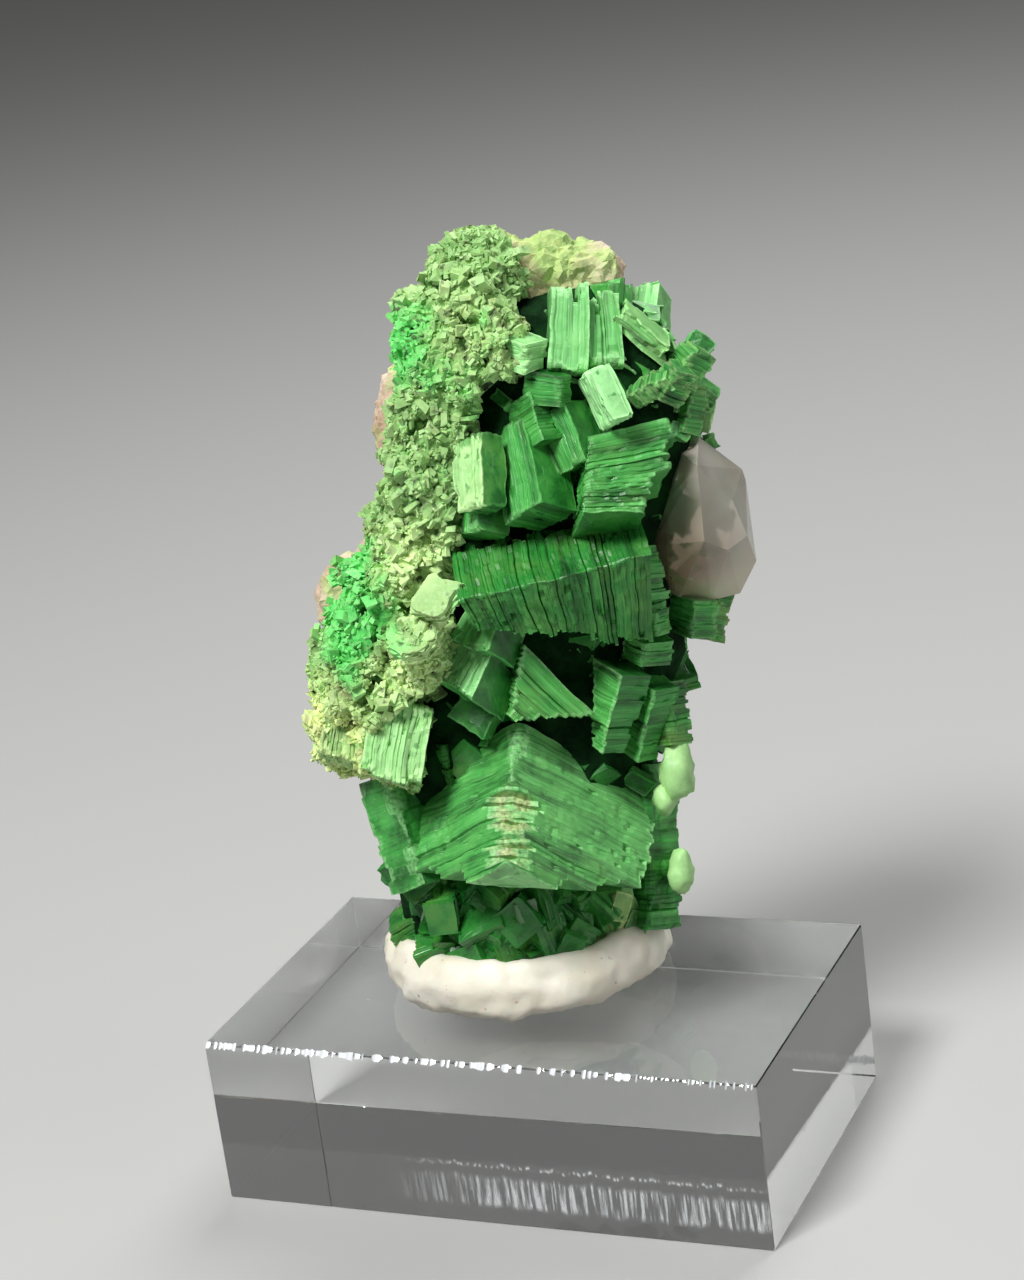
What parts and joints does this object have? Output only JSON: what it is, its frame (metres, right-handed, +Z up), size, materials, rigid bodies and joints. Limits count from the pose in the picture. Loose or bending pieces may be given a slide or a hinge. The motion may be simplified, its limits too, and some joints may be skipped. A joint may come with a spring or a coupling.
{
  "type": "torbernite specimen on acrylic base",
  "caption": "Thick square green crystals stacked like books of thin plates over host rock, with a pale crystal crust and a smoky quartz, fixed with putty on a small clear block.",
  "frame": {"origin": "middle of the underside of the block", "axes": "+Z up, +X along the block's long side, -Y on the side of the block nearest the specimen's front"},
  "size_m": [0.0318, 0.0212, 0.0517],
  "materials": {
    "acrylic_base": "clear, with sawn and chipped sides",
    "mounting_putty": "matt, hand pressed",
    "host_rock": "granular",
    "torbernite_cluster": "waxy to glassy, frosted on the edges of the plates",
    "rear_torbernite": "waxy to glassy, frosted on the edges of the plates",
    "pale_crust": "fine crystals, frosted",
    "smoky_quartz": "glassy, smoky grey brown"
  },
  "bodies": {
    "root": {"acrylic_base": "acrylic_base", "mounting_putty": "mounting_putty", "host_rock": "host_rock", "torbernite_cluster": "torbernite_cluster", "rear_torbernite": "rear_torbernite", "pale_crust": "pale_crust", "smoky_quartz": "smoky_quartz"}
  },
  "joints": []
}
